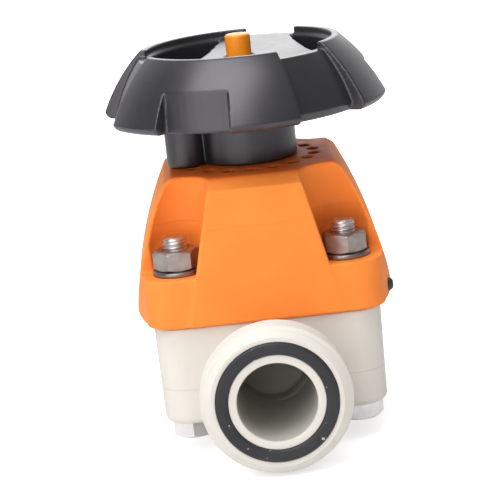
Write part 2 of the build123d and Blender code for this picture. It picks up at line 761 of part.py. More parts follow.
with BuildPart() as handwheel:
    with BuildSketch(Plane.XZ):
        with BuildLine():
            flank_arc = ThreePointArc(
                (wheel_outer_radius, widest_z), (wheel_flank_radius, flank_z), (wheel_rim_radius, wheel_rim_z)
            )
            foot_arc = ThreePointArc(
                (wheel_foot_radius, wheel_bottom_z),
                (
                    wheel_foot_radius + wheel_foot_bulge * (wheel_outer_radius - wheel_foot_radius),
                    widest_z - wheel_foot_bulge * wheel_widest_above_bottom,
                ),
                (wheel_outer_radius, widest_z),
            )
            Polyline(
                flank_arc @ 1,
                (wheel_rim_inner_radius, wheel_rim_z),
                (wheel_rim_inner_radius, dish_edge_z),
                (0, dish_z),
                (0, hub_bottom_z),
                (hub_radius, hub_bottom_z),
                (hub_radius, web_underside_z),
                (wheel_outer_radius - skirt_inset_top, web_underside_z),
                (wheel_outer_radius - skirt_inset_bottom, wheel_bottom_z),
                foot_arc @ 0,
            )
        make_face()
    revolve(axis=Axis.Z)
    with PolarLocations(0, lobe_count, lobe_azimuth - 90 + half_pitch - notch_half_angle):
        add(notch_cutter.part, mode=Mode.SUBTRACT)
    with PolarLocations(0, lobe_count, lobe_azimuth - 90 - grip_half_angle):
        add(grip_cutter.part, mode=Mode.SUBTRACT)
    add(dish_pockets.part, mode=Mode.SUBTRACT)
    with BuildSketch(Plane.XY.offset(hub_bottom_z)):
        with Locations(lock_place):
            Circle(lug_radius)
    extrude(amount=web_underside_z - hub_bottom_z)
    # Bores for the drive bush, the indicator, the drive pin and the lock
    with BuildSketch(Plane.XY.offset(hub_bottom_z)):
        Circle(bush_radius + fit_clearance)
    extrude(amount=bush_top_z + fit_clearance - hub_bottom_z, mode=Mode.SUBTRACT)
    with BuildSketch(Plane.XY.offset(hub_bottom_z)):
        Circle(indicator_radius + indicator_gap)
    extrude(amount=wheel_rim_z - hub_bottom_z, mode=Mode.SUBTRACT)
    with BuildSketch(Plane((0, 0, wheel_pin_z), z_dir=(0, 1, 0))):
        Circle(wheel_pin_radius + fit_clearance)
    extrude(amount=hub_radius, mode=Mode.SUBTRACT)
    with BuildSketch(Plane.XY.offset(hub_bottom_z)):
        with Locations(lock_place):
            Circle(lock_pin_bore_radius)
    extrude(amount=chamber_floor_z - hub_bottom_z, mode=Mode.SUBTRACT)
    with BuildSketch(Plane.XY.offset(chamber_floor_z)):
        with Locations(lock_place):
            Circle(button_chamber_radius)
    extrude(amount=wheel_rim_z - chamber_floor_z, mode=Mode.SUBTRACT)
handwheel.part.label = "handwheel"
export_step(handwheel.part, "parts/handwheel.step")

# Wheel lock: pressing the button drops the pin into the ring of holes in the bonnet
with BuildPart() as lock_button:
    with BuildSketch(Plane.XY.offset(button_bottom_z)):
        with Locations(lock_place):
            Circle(button_radius)
    extrude(amount=button_height)
    fillet(lock_button.edges().group_by(Axis.Z)[-1], radius=button_rounding)
    with BuildSketch(Plane.XY.offset(button_bottom_z)):
        with Locations(lock_place):
            Circle(lock_pin_radius + fit_clearance)
    extrude(amount=button_socket_depth, mode=Mode.SUBTRACT)
lock_button.part.label = "lock_button"
export_step(lock_button.part, "parts/lock_button.step")

with BuildPart() as lock_pin:
    with BuildSketch(Plane.XY.offset(lock_tip_z)):
        with Locations(lock_place):
            Circle(lock_pin_radius)
    extrude(amount=button_bottom_z + button_socket_depth - fit_clearance - lock_tip_z)
    chamfer(lock_pin.edges().group_by(Axis.Z)[0], length=lock_pin_chamfer)
lock_pin.part.label = "lock_pin"
export_step(lock_pin.part, "parts/lock_pin.step")

with BuildPart() as lock_spring:
    spring_foot_z = chamber_floor_z + spring_wire_radius + fit_clearance
    spring_height = button_bottom_z - chamber_floor_z - 2 * (spring_wire_radius + fit_clearance)
    with BuildLine():
        coil = Helix(spring_height / spring_turns, spring_height, spring_coil_radius, (*lock_place, spring_foot_z))
    with BuildSketch(Plane(origin=coil @ 0, z_dir=coil % 0)):
        Circle(spring_wire_radius)
    sweep(path=coil)
lock_spring.part.label = "lock_spring"
export_step(lock_spring.part, "parts/lock_spring.step")
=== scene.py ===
"""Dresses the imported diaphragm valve: mouldings with rounded edges, threads and materials.

Lengths are written in millimetres and multiplied by MM where they enter Blender, which works
in metres. X runs across the pipe, Y along it and Z up the spindle.
"""

from math import cos, floor, pi, radians, sin, tan

import bmesh
import bpy
from mathutils import Matrix, Vector


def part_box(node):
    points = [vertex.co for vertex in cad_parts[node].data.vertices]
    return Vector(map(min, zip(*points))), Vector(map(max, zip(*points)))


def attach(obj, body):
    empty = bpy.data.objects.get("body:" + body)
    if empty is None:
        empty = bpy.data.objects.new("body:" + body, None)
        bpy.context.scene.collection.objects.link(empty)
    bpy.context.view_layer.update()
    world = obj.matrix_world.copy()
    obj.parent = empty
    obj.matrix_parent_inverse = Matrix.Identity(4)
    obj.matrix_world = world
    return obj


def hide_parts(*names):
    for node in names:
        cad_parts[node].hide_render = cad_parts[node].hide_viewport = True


MM = 0.001

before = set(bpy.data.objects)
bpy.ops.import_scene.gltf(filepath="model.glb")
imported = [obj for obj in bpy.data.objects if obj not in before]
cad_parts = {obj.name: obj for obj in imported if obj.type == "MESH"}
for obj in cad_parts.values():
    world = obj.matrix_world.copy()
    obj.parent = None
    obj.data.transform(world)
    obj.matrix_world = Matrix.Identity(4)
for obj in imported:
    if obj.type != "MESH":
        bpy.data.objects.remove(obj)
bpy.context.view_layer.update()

# Sizes shared by several pieces
PIPE_HEIGHT = 25.0
END_FACE_Y = 61.0
BORE_RADIUS = 12.5
PIPE_CUT_Y = 47.0

# Meshes
MERGE_DISTANCE = 0.002
SHARE_OF_FACES_KEPT = 0.4


def add_piece(name, mesh, body, surface, smooth_angle):
    """Links a finished mesh as a piece, smooth except where its faces meet at a sharper angle."""
    bm = merged(mesh)
    bmesh.ops.recalc_face_normals(bm, faces=bm.faces)
    bm.to_mesh(mesh)
    bm.free()
    mesh.shade_smooth()
    mesh.set_sharp_from_angle(angle=radians(smooth_angle))
    mesh.materials.clear()
    mesh.materials.append(surface.material)
    piece = bpy.data.objects.new(name, mesh)
    bpy.context.scene.collection.objects.link(piece)
    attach(piece, body)
    return piece


def merged(mesh):
    """The faces of a mesh in a form for editing, with points that coincide merged."""
    bm = bmesh.new()
    bm.from_mesh(mesh)
    bmesh.ops.remove_doubles(bm, verts=bm.verts, dist=MERGE_DISTANCE * MM)
    return bm


def turned_piece(name, profile, columns, place, body, surface, smooth_angle):
    """Makes a piece of a profile that is turned round an axis.

    Each row of the profile is (along, radius), both in millimetres. The radius is a function of
    the angle where the outline isn't round. place maps (along, radius, angle) to a point.
    """
    points = []
    for along, radius in profile:
        for column in range(columns):
            angle = 2 * pi * column / columns
            here = radius(angle) if callable(radius) else radius
            points.append(Vector(place(along, here, angle)) * MM)
    mesh = bpy.data.meshes.new(name)
    mesh.from_pydata(points, [], ring_faces(len(profile), columns))
    return add_piece(name, mesh, body, surface, smooth_angle)


def ring_faces(rows, columns):
    """Quads between rows of points that each run once round an axis."""
    faces = []
    for row in range(rows - 1):
        here = row * columns
        above = here + columns
        for column in range(columns):
            after = (column + 1) % columns
            faces.append((here + column, here + after, above + after, above + column))
    return faces


def rounded(corners, steps=4):
    """Profile points with each corner (a, b, radius) replaced by an arc of that radius."""
    points = []
    last = len(corners) - 1
    for index, (a, b, radius) in enumerate(corners):
        here = Vector((a, b))
        if index in (0, last) or radius == 0:
            points.append(here)
            continue
        before = (Vector(corners[index - 1][:2]) - here).normalized()
        after = (Vector(corners[index + 1][:2]) - here).normalized()
        half = before.angle(after) / 2
        reach = radius / tan(half)
        centre = here + (before + after).normalized() * (radius / sin(half))
        start = (here + before * reach - centre).normalized()
        end = (here + after * reach - centre).normalized()
        for step in range(steps + 1):
            points.append(centre + start.slerp(end, step / steps) * radius)
    return points


def even_rows(first, last, count, radius_at):
    """Rows of a profile at even steps from first to last, with the radius given at each."""
    rows = []
    for row in range(count + 1):
        along = first + (last - first) * row / count
        rows.append((along, radius_at(along)))
    return rows


def upright(x, y, turn=0.0):
    """Maps (z, radius, angle) to a point round a vertical axis at x, y, turned by an angle."""
    return lambda z, radius, angle: (
        x + radius * cos(angle + turn),
        y + radius * sin(angle + turn),
        z,
    )


def along_pipe(side):
    """Maps (along, radius, angle) to a point round the pipe axis; side is -1 at the front."""
    return lambda along, radius, angle: (
        radius * cos(angle),
        side * along,
        PIPE_HEIGHT + radius * sin(angle),
    )


def ridge(phase):
    """Height of a rounded thread form, 0 at the root and 1 at the crest."""
    return 0.5 - 0.5 * cos(2 * pi * (phase - floor(phase)))


def ramp(value, first, last):
    """Smooth rise from 0 at first to 1 at last."""
    share = min(max((value - first) / (last - first), 0.0), 1.0)
    return share * share * (3 - 2 * share)


def moulded(node, name, body, surface, voxel, passes, cut_y=None):
    """Replaces a CAD node by a moulding of the same form with softly rounded edges.

    The node's mesh is rebuilt on a voxel grid, smoothed over its edges and thinned out. With
    cut_y, what lies beyond that distance along the pipe is left off.
    """
    bm = merged(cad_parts[node].data)
    mesh = bpy.data.meshes.new(name + "_raw")
    bm.to_mesh(mesh)
    bm.free()
    raw = bpy.data.objects.new(name + "_raw", mesh)
    bpy.context.scene.collection.objects.link(raw)
    remesh = raw.modifiers.new("voxels", "REMESH")
    remesh.mode = "VOXEL"
    remesh.voxel_size = voxel * MM
    smooth = raw.modifiers.new("rounding", "SMOOTH")
    smooth.factor = 0.5
    smooth.iterations = passes
    thin = raw.modifiers.new("thinning", "DECIMATE")
    thin.ratio = SHARE_OF_FACES_KEPT
    bpy.context.view_layer.update()
    evaluated = raw.evaluated_get(bpy.context.evaluated_depsgraph_get())
    shaped = bpy.data.meshes.new_from_object(evaluated)
    bpy.data.objects.remove(raw)
    if cut_y is not None:
        cut_off(shaped, cut_y)
    shaped.name = name
    piece = add_piece(name, shaped, body, surface, 180)
    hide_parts(node)


def cut_off(mesh, cut_y):
    """Leaves off what lies further along the pipe than cut_y, at both ends."""
    bm = bmesh.new()
    bm.from_mesh(mesh)
    for side in (-1, 1):
        bmesh.ops.bisect_plane(
            bm,
            geom=bm.verts[:] + bm.edges[:] + bm.faces[:],
            plane_co=(0, side * cut_y * MM, 0),
            plane_no=(0, side, 0),
            clear_outer=True,
        )
    bm.to_mesh(mesh)
    bm.free()


# Shader nodes

# Sockets of a Mix node that mixes colours
MIX_UNDER, MIX_OVER, MIX_RESULT = 6, 7, 2


def map_range(tree, value, low, high, start, end):
    """Maps a value that goes from start to end to one that goes from low to high."""
    node = tree.nodes.new("ShaderNodeMapRange")
    node.inputs["From Min"].default_value = start
    node.inputs["From Max"].default_value = end
    node.inputs["To Min"].default_value = low
    node.inputs["To Max"].default_value = high
    tree.links.new(value, node.inputs["Value"])
    return node.outputs["Result"]


def connect(tree, value, socket):
    """Gives a socket its value, which is a number or comes from another node."""
    if isinstance(value, float):
        socket.default_value = value
    else:
        tree.links.new(value, socket)


def calculate(tree, operation, *values):
    """Result of a Math node with one or two values."""
    node = tree.nodes.new("ShaderNodeMath")
    node.operation = operation
    for index, value in enumerate(values):
        connect(tree, value, node.inputs[index])
    return node.outputs["Value"]


def choose(tree, factor, otherwise, chosen):
    """The chosen value where the factor is 1, and the other one where it is 0."""
    node = tree.nodes.new("ShaderNodeMix")
    connect(tree, factor, node.inputs["Factor"])
    connect(tree, otherwise, node.inputs["A"])
    connect(tree, chosen, node.inputs["B"])
    return node.outputs["Result"]


def split(tree, vector):
    """The X, Y and Z of a vector."""
    node = tree.nodes.new("ShaderNodeSeparateXYZ")
    tree.links.new(vector, node.inputs["Vector"])
    return node.outputs


class Surface:
    """A Principled material whose colour, roughness and bump are built up layer by layer."""

    def __init__(self, name, colour, roughness, metallic=0.0):
        self.material = bpy.data.materials.new(name)
        self.material.use_nodes = True
        self.tree = self.material.node_tree
        self.shader = self.tree.nodes["Principled BSDF"]
        self.set_input("Base Color", (*colour, 1))
        self.set_input("Roughness", roughness)
        self.set_input("Metallic", metallic)
        self.colour = None
        self.normal = None
        self.coordinates = self.tree.nodes.new("ShaderNodeTexCoord")

    def set_input(self, socket, value):
        """Gives an input of the shader a fixed value."""
        self.shader.inputs[socket].default_value = value

    def stretched(self, scale, shift=(0, 0, 0)):
        """Places on the object, each axis multiplied by its scale and then shifted."""
        mapping = self.tree.nodes.new("ShaderNodeMapping")
        mapping.inputs["Location"].default_value = [part * MM for part in shift]
        mapping.inputs["Scale"].default_value = scale
        self.tree.links.new(self.coordinates.outputs["Object"], mapping.inputs["Vector"])
        return mapping.outputs["Vector"]

    def noise(self, scale, detail, stretch=(1, 1, 1)):
        """Noise in object space; scale is in features per metre."""
        texture = self.tree.nodes.new("ShaderNodeTexNoise")
        texture.inputs["Scale"].default_value = scale
        texture.inputs["Detail"].default_value = detail
        self.tree.links.new(self.stretched(stretch), texture.inputs["Vector"])
        return texture.outputs["Fac"]

    def spread(self, value, low, high, start=0.35, end=0.65):
        """Maps the middle of a noise's range, or start to end of another value, to low to high."""
        return map_range(self.tree, value, low, high, start, end)

    def height(self):
        """Height above the ground, in metres."""
        return split(self.tree, self.coordinates.outputs["Object"])["Z"]

    def distance(self, scale, middle=(0, 0, 0)):
        """Distance from an axis through middle; scale is 0 along the axis and 1 across it."""
        length = self.tree.nodes.new("ShaderNodeVectorMath")
        length.operation = "LENGTH"
        flat = self.stretched(scale, [-part for part in middle])
        self.tree.links.new(flat, length.inputs[0])
        return length.outputs["Value"]

    def near(self, length, level, half_width, core=0.0):
        """1 where a length is within core of a level, fading to 0 at half_width from it."""
        away = calculate(self.tree, "SUBTRACT", length, level * MM)
        gap = calculate(self.tree, "ABSOLUTE", away)
        return self.spread(gap, 1.0, 0.0, core * MM, half_width * MM)

    def below(self, level, fade):
        """1 up to a fade under a level, falling to 0 at the level and above."""
        return self.spread(self.height(), 1.0, 0.0, (level - fade) * MM, level * MM)

    def above(self, level, fade):
        """0 up to a fade under a level, rising to 1 at the level and above."""
        return self.spread(self.height(), 0.0, 1.0, (level - fade) * MM, level * MM)

    def mottle(self, factor, first, second):
        """Lets the colour of the surface vary between two colours by a factor."""
        self.lay_over(factor, second).default_value = (*first, 1)

    def tint(self, factor, colour, share=1.0):
        """Lays a share of a colour over the colour so far, where the factor is 1."""
        so_far = self.colour
        under = self.lay_over(self.spread(factor, 0.0, share, 0.0, 1.0), colour)
        self.tree.links.new(so_far, under)

    def lay_over(self, factor, colour):
        """Mixes in a colour by a factor, and gives the socket for the colour under it."""
        mix = self.tree.nodes.new("ShaderNodeMix")
        mix.data_type = "RGBA"
        mix.inputs[MIX_OVER].default_value = (*colour, 1)
        self.tree.links.new(factor, mix.inputs["Factor"])
        self.colour = mix.outputs[MIX_RESULT]
        self.tree.links.new(self.colour, self.shader.inputs["Base Color"])
        return mix.inputs[MIX_UNDER]

    def roughness(self, value, low, high):
        """Lets the roughness vary between low and high by a noise value."""
        self.tree.links.new(self.spread(value, low, high), self.shader.inputs["Roughness"])

    def bump(self, value, height):
        """Raises the surface by a value; height is in millimetres."""
        node = self.tree.nodes.new("ShaderNodeBump")
        node.inputs["Distance"].default_value = height * MM
        self.tree.links.new(value, node.inputs["Height"])
        if self.normal is not None:
            self.tree.links.new(self.normal, node.inputs["Normal"])
        self.normal = node.outputs["Normal"]
        self.tree.links.new(self.normal, self.shader.inputs["Normal"])

    def let_light_in(self, weight, depths):
        """Lets light spread under the surface; depths are for red, green and blue, in metres."""
        self.set_input("Subsurface Weight", weight)
        self.set_input("Subsurface Radius", depths)


def scaled(colour, factor):
    """A colour made darker or lighter by a factor."""
    return tuple(min(part * factor, 1.0) for part in colour)


# Noise scales, in features per metre
PLASTIC_PATCHES, PLASTIC_GLOSS, PLASTIC_GRAIN = 55, 240, 1900
METAL_PATCHES, METAL_GLOSS, METAL_MARKS = 210, 520, 1300
DUST_SPECKS = 620

MOULD_LINE_HEIGHT = 0.05


def uneven_colour(surface, scale, colour, mottle):
    """Lets a colour vary by a share of itself, in patches; scale is in patches per metre."""
    patches = surface.spread(surface.noise(scale, 4), 0, 1)
    surface.mottle(patches, scaled(colour, 1 - mottle), scaled(colour, 1 + mottle))


def moulded_plastic(name, colour, roughness, grain, mottle=0.06, uneven=0.06):
    """Injection moulded plastic: soft mottling, fine grain and uneven gloss."""
    surface = Surface(name, colour, roughness)
    uneven_colour(surface, PLASTIC_PATCHES, colour, mottle)
    surface.roughness(surface.noise(PLASTIC_GLOSS, 3), roughness - uneven, roughness + uneven)
    surface.bump(surface.noise(PLASTIC_GRAIN, 2), grain)
    return surface


def worked_metal(name, colour, roughness, scratch, stretch=(1, 1, 1), mottle=0.12):
    """Metal with duller patches and fine marks, which stretch can draw out along an axis."""
    surface = Surface(name, colour, roughness, 1.0)
    uneven_colour(surface, METAL_PATCHES, colour, mottle)
    surface.roughness(surface.noise(METAL_GLOSS, 3), roughness - 0.08, roughness + 0.12)
    surface.bump(surface.noise(METAL_MARKS, 3, stretch), scratch)
    return surface


def mould_line(surface, level, half_width, colour, share):
    """A fine raised line round a moulding at a height, and darker than the rest."""
    line = surface.near(surface.height(), level, half_width)
    surface.tint(line, colour, share)
    surface.bump(line, MOULD_LINE_HEIGHT)


def darken_bore(surface):
    """Tints the wall of the passage, which gets little light."""
    from_pipe_axis = surface.distance((1, 0, 1), (0, 0, PIPE_HEIGHT))
    full, none = (BORE_RADIUS + 0.1) * MM, (BORE_RADIUS + 0.35) * MM
    surface.tint(surface.spread(from_pipe_axis, 1.0, 0.0, full, none), scaled(CREAM, 0.72))


# Materials
ORANGE = (0.95, 0.265, 0.048)
# Redder orange painted on the bonnet's deck as the shade under the wheel
DECK_SHADE_ORANGE = (1.0, 0.17, 0.022)
# Dark red painted in the lock holes as their shade
HOLE_SHADE_RED = (0.33, 0.050, 0.012)
CREAM = (0.69, 0.65, 0.595)
BLACK = (0.019, 0.0185, 0.0215)
DUST = (0.45, 0.43, 0.41)
BRASS = (0.75, 0.56, 0.26)

# Bonnet: a mould line, painted shade in a deeper orange on its deck, and painted shade in dark lock
# holes in a ring
BONNET_LINE_Z = 75.6
DECK_Z = 90.6
LOCK_RING_RADIUS = 21.0
LOCK_RING_HALF_WIDTH = 2.8
bonnet_plastic = moulded_plastic("bonnet_plastic", ORANGE, 0.56, 0.012, 0.04)
bonnet_plastic.set_input("Specular IOR Level", 0.12)
bonnet_plastic.let_light_in(0.08, (0.0015, 0.0006, 0.0003))
mould_line(bonnet_plastic, BONNET_LINE_Z, 0.25, scaled(ORANGE, 0.72), 0.35)
# Painted shade: the deck under the wheel is tinted a deeper, redder orange
bonnet_plastic.tint(bonnet_plastic.above(DECK_Z, 1.0), DECK_SHADE_ORANGE, 0.75)
# Painted shade: the lock holes in a ring under the deck are tinted dark red
on_lock_ring = bonnet_plastic.near(
    bonnet_plastic.distance((1, 1, 0)),
    LOCK_RING_RADIUS,
    LOCK_RING_HALF_WIDTH,
    LOCK_RING_HALF_WIDTH * 0.8,
)
under_deck = bonnet_plastic.below(DECK_Z, 0.35)
lock_hole_shade = calculate(bonnet_plastic.tree, "MULTIPLY", on_lock_ring, under_deck)
bonnet_plastic.tint(lock_hole_shade, HOLE_SHADE_RED, 0.85)

# Body and pipe ends
BODY_LINE_Z = 23.6
body_plastic = moulded_plastic("body_plastic", CREAM, 0.46, 0.010, 0.025)
body_plastic.let_light_in(0.05, (0.001, 0.0009, 0.0007))
mould_line(body_plastic, BODY_LINE_Z, 0.28, scaled(CREAM, 0.62), 0.45)
darken_bore(body_plastic)

pipe_plastic = moulded_plastic("pipe_plastic", CREAM, 0.42, 0.008, 0.02)
darken_bore(pipe_plastic)

# Other plastics
wheel_plastic = moulded_plastic("wheel_plastic", BLACK, 0.34, 0.012, 0.12, 0.015)
wheel_plastic.set_input("Specular IOR Level", 0.85)
wheel_plastic.set_input("Specular Tint", (0.98, 0.94, 1.0, 1))

indicator_plastic = moulded_plastic("indicator_plastic", (1.0, 0.30, 0.010), 0.32, 0.006, 0.03)
indicator_plastic.let_light_in(0.15, (0.002, 0.0008, 0.0002))
plug_plastic = moulded_plastic("plug_plastic", (0.03, 0.03, 0.032), 0.45, 0.01)
button_plastic = moulded_plastic("button_plastic", (0.036, 0.036, 0.040), 0.42, 0.012)
compressor_plastic = moulded_plastic("compressor_plastic", (0.10, 0.10, 0.11), 0.5, 0.012)
retainer_plastic = moulded_plastic("retainer_plastic", (0.12, 0.12, 0.12), 0.5, 0.012)

# Rubbers, the ring's with pale specks of dust
ring_rubber = moulded_plastic("ring_rubber", (0.027, 0.027, 0.031), 0.50, 0.012, 0.15)
ring_rubber.set_input("Specular IOR Level", 0.35)
specks = ring_rubber.spread(ring_rubber.noise(DUST_SPECKS, 1), 0, 1, start=0.73, end=0.76)
ring_rubber.tint(specks, DUST)
diaphragm_rubber = moulded_plastic("diaphragm_rubber", (0.02, 0.02, 0.02), 0.6, 0.02)

# Metals
bolt_steel = worked_metal("bolt_steel", (0.80, 0.78, 0.79), 0.42, 0.002, mottle=0.05)
nut_steel = worked_metal("nut_steel", (0.40, 0.355, 0.335), 0.42, 0.006)
# Washers: the nuts' steel painted darker, as painted shade under the nuts
washer_steel = worked_metal("washer_steel", (0.27, 0.24, 0.225), 0.36, 0.006)
thread_steel = worked_metal("thread_steel", (0.60, 0.55, 0.55), 0.36, 0.002, mottle=0.06)
spindle_steel = worked_metal("spindle_steel", (0.62, 0.62, 0.62), 0.25, 0.006, (1, 1, 6))
bearing_steel = worked_metal("bearing_steel", (0.60, 0.60, 0.61), 0.22, 0.004)
spring_steel = worked_metal("spring_steel", (0.55, 0.55, 0.56), 0.28, 0.004)
bush_brass = worked_metal("bush_brass", BRASS, 0.28, 0.006, (1, 1, 8))
insert_brass = worked_metal("insert_brass", BRASS, 0.30, 0.006)

# CAD nodes that keep their shape
kept_nodes = {
    "diaphragm": diaphragm_rubber,
    "diaphragm_stud": spindle_steel,
    "compressor": compressor_plastic,
    "cross_pin": spindle_steel,
    "spindle": spindle_steel,
    "drive_bush": bush_brass,
    "upper_thrust_washer": bearing_steel,
    "lower_thrust_washer": bearing_steel,
    "bearing_retainer": retainer_plastic,
    "bush_seal_ring": ring_rubber,
    "wheel_pin": bearing_steel,
    "lock_pin": bearing_steel,
    "lock_spring": spring_steel,
    "foot_inserts": insert_brass,
    "lock_button": button_plastic,
}
for node, surface in kept_nodes.items():
    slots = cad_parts[node].data.materials
    if slots:
        slots[0] = surface.material
    else:
        slots.append(surface.material)

# Valve body, cut off where the threaded pipe ends begin
moulded(
    "valve_body",
    "body_block",
    "valve",
    body_plastic,
    voxel=0.45,
    passes=4,
    cut_y=PIPE_CUT_Y,
)

# Threaded pipe ends: a neck, the thread with its chamfered mouth, and a groove in the end face
NECK_RADIUS = 18.7
NECK_END_Y = 48.6
SHOULDER_RADIUS = 23.4
THREAD_START, THREAD_END = 50.0, 60.6
THREAD_CREST, THREAD_DEPTH, THREAD_PITCH = 23.9, 1.45, 2.309
CHAMFER_START, CHAMFER_SLOPE = 58.7, 1.35
FACE_EDGE_RADIUS = 20.8
GROOVE_OUTER_RADIUS, GROOVE_INNER_RADIUS, GROOVE_FLOOR_Y = 19.3, 15.2, 58.1
THREAD_ROWS, PIPE_COLUMNS = 64, 144

neck = rounded(
    [
        (PIPE_CUT_Y, NECK_RADIUS, 0),
        (NECK_END_Y, NECK_RADIUS, 1.2),
        (THREAD_START, SHOULDER_RADIUS, 0),
    ]
)
mouth = rounded(
    [
        (THREAD_END + 0.05, FACE_EDGE_RADIUS + 0.4, 0),
        (END_FACE_Y, FACE_EDGE_RADIUS, 0.15),
        (END_FACE_Y, GROOVE_OUTER_RADIUS, 0.15),
        (GROOVE_FLOOR_Y, GROOVE_OUTER_RADIUS, 0.3),
        (GROOVE_FLOOR_Y, GROOVE_INNER_RADIUS, 0.3),
        (END_FACE_Y, GROOVE_INNER_RADIUS, 0.25),
        (END_FACE_Y, BORE_RADIUS, 0.45),
        (PIPE_CUT_Y, BORE_RADIUS, 0),
    ]
)


def pipe_thread(side):
    """Gives the radius of the pipe thread at a distance along the pipe, as a function of the angle.

    The thread deepens behind the neck, and the chamfer at the mouth trims it.
    """

    def radius_at(along):
        depth = THREAD_DEPTH * ramp(along, THREAD_START - 0.6, THREAD_START + 1.2)
        limit = THREAD_CREST - CHAMFER_SLOPE * max(along - CHAMFER_START, 0.0)

        def radius(angle):
            phase = along / THREAD_PITCH - side * angle / (2 * pi)
            return min(THREAD_CREST - depth * (1 - ridge(phase)), limit)

        return radius

    return radius_at


for name, side in (("front_pipe_end", -1), ("rear_pipe_end", 1)):
    thread = even_rows(THREAD_START, THREAD_END, THREAD_ROWS, pipe_thread(side))
    profile = neck + thread + mouth
    place = along_pipe(side)
    turned_piece(name, profile, PIPE_COLUMNS, place, "valve", pipe_plastic, 50)

# Face rings of the unions
RING_BACK_Y, RING_FRONT_Y = 58.2, 61.75
RING_INNER_RADIUS, RING_OUTER_RADIUS = 15.25, 19.25
RING_EDGE = 0.9
RING_COLUMNS = 128

ring_section = rounded(
    [
        (RING_BACK_Y, RING_INNER_RADIUS, 0),
        (RING_FRONT_Y, RING_INNER_RADIUS, RING_EDGE),
        (RING_FRONT_Y, RING_OUTER_RADIUS, RING_EDGE),
        (RING_BACK_Y, RING_OUTER_RADIUS, 0),
    ],
    6,
)
for name, side in (("front_union_ring", -1), ("rear_union_ring", 1)):
    ring = turned_piece(
        name + "_seal",
        ring_section,
        RING_COLUMNS,
        along_pipe(side),
        "valve",
        ring_rubber,
        smooth_angle=60,
    )
    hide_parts(name)

# Bonnet
moulded(
    "bonnet",
    "bonnet_moulding",
    "valve",
    bonnet_plastic,
    voxel=0.4,
    passes=14,
)

# Leak plug on the right side, with a domed end
PLUG_ROOT_X = 34.6
PLUG_RADIUS = 2.2
PLUG_DOME = 1.6
PLUG_COLUMNS = 40
plug_low, plug_high = [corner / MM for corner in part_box("leak_plug")]
plug_middle = (plug_low + plug_high) / 2
plug_profile = rounded(
    [
        (PLUG_ROOT_X, PLUG_RADIUS, 0),
        (plug_high.x, PLUG_RADIUS, PLUG_DOME),
        (plug_high.x, 0.0, 0),
    ],
    8,
)


def across_pipe(x, radius, angle):
    """Point round the plug's axis, which runs along X."""
    return x, plug_middle.y + radius * cos(angle), plug_middle.z + radius * sin(angle)


leak_plug = turned_piece(
    "leak_plug_cap",
    plug_profile,
    PLUG_COLUMNS,
    across_pipe,
    "valve",
    plug_plastic,
    smooth_angle=50,
)
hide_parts("leak_plug")

# Bolts, nuts and washers: their places, and the turn of each head and nut in degrees
BOLT_PLACES = [(-27.0, -23.0), (27.0, -23.0), (27.0, 23.0), (-27.0, 23.0)]
HEAD_TURNS = (26.0, -1.0, 12.0, 40.0)
NUT_TURNS = (8.4, 35.0, 20.0, 3.0)
BOLT_COLUMNS = 72

# Hexagon of heads and nuts, with a cone that trims its corners from one radius to the other
ACROSS_FLATS = 13.0
TRIMMED_RADIUS, CORNER_RADIUS = 6.15, 7.56
CHAMFER_STEPS = 6
FACE_STEP = 0.02

HEAD_HEIGHT = 5.3
HEAD_FACE_RADIUS = 5.9
HEAD_CHAMFER = 0.85
NUT_FACE_RADIUS = 6.1
NUT_CHAMFER = 0.8
UNTRIMMED_RADIUS = 7.6
SHANK_RADIUS = 3.9
NUT_HOLE_EDGE_RADIUS, NUT_HOLE_RADIUS, NUT_HOLE_BEVEL = 4.35, 3.85, 0.5
WASHER_HOLE_RADIUS, WASHER_RADIUS = 4.2, 8.0

# Bolt thread and the plain tip above it
BOLT_RADIUS, BOLT_PITCH, BOLT_THREAD_DEPTH = 3.95, 1.25, 0.58
THREAD_UNDER_NUT_TOP = 1.5
FADE_LENGTH, TIP_LENGTH = 1.6, 0.9
TIP_INSET = 0.25
TIP_RADIUS, TIP_SHOULDER_RADIUS, TIP_END_RADIUS = 3.7, 3.6, 2.95
TIP_CONE_LENGTH, TIP_EDGE = 0.55, 0.3
BOLT_THREAD_ROWS = 150

bolt_bottom_z, bolt_tip_z = [corner.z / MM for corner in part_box("bonnet_bolts")]
nut_bottom_z, nut_top_z = [corner.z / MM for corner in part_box("bonnet_nuts")]
washer_bottom_z, washer_top_z = [corner.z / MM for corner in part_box("nut_washers")]
head_top_z = bolt_bottom_z + HEAD_HEIGHT
thread_top_z = bolt_tip_z - TIP_LENGTH


def hexagon(limit):
    """Radius of a hexagon as a function of the angle, nowhere more than the limit."""

    def radius(angle):
        turn = (angle + pi / 6) % (pi / 3) - pi / 6
        return min(ACROSS_FLATS / 2 / cos(turn), limit)

    return radius


def chamfer_rows(flat_z, body_z):
    """Rows of the cone that trims the corners of a hexagon near one end."""
    rows = []
    for step in range(CHAMFER_STEPS + 1):
        z = flat_z + (body_z - flat_z) * step / CHAMFER_STEPS
        limit = TRIMMED_RADIUS + (CORNER_RADIUS - TRIMMED_RADIUS) * step / CHAMFER_STEPS
        rows.append((z, hexagon(limit)))
    return rows


def bolt_thread(z):
    """Radius of the bolt thread at a height, as a function of the angle; it fades out at the tip."""
    fade = 1 - ramp(z, bolt_tip_z - FADE_LENGTH, thread_top_z)

    def radius(angle):
        depth = BOLT_THREAD_DEPTH * (1 - ridge(z / BOLT_PITCH - angle / (2 * pi)))
        return BOLT_RADIUS - depth * fade - TIP_INSET * (1 - fade)

    return radius


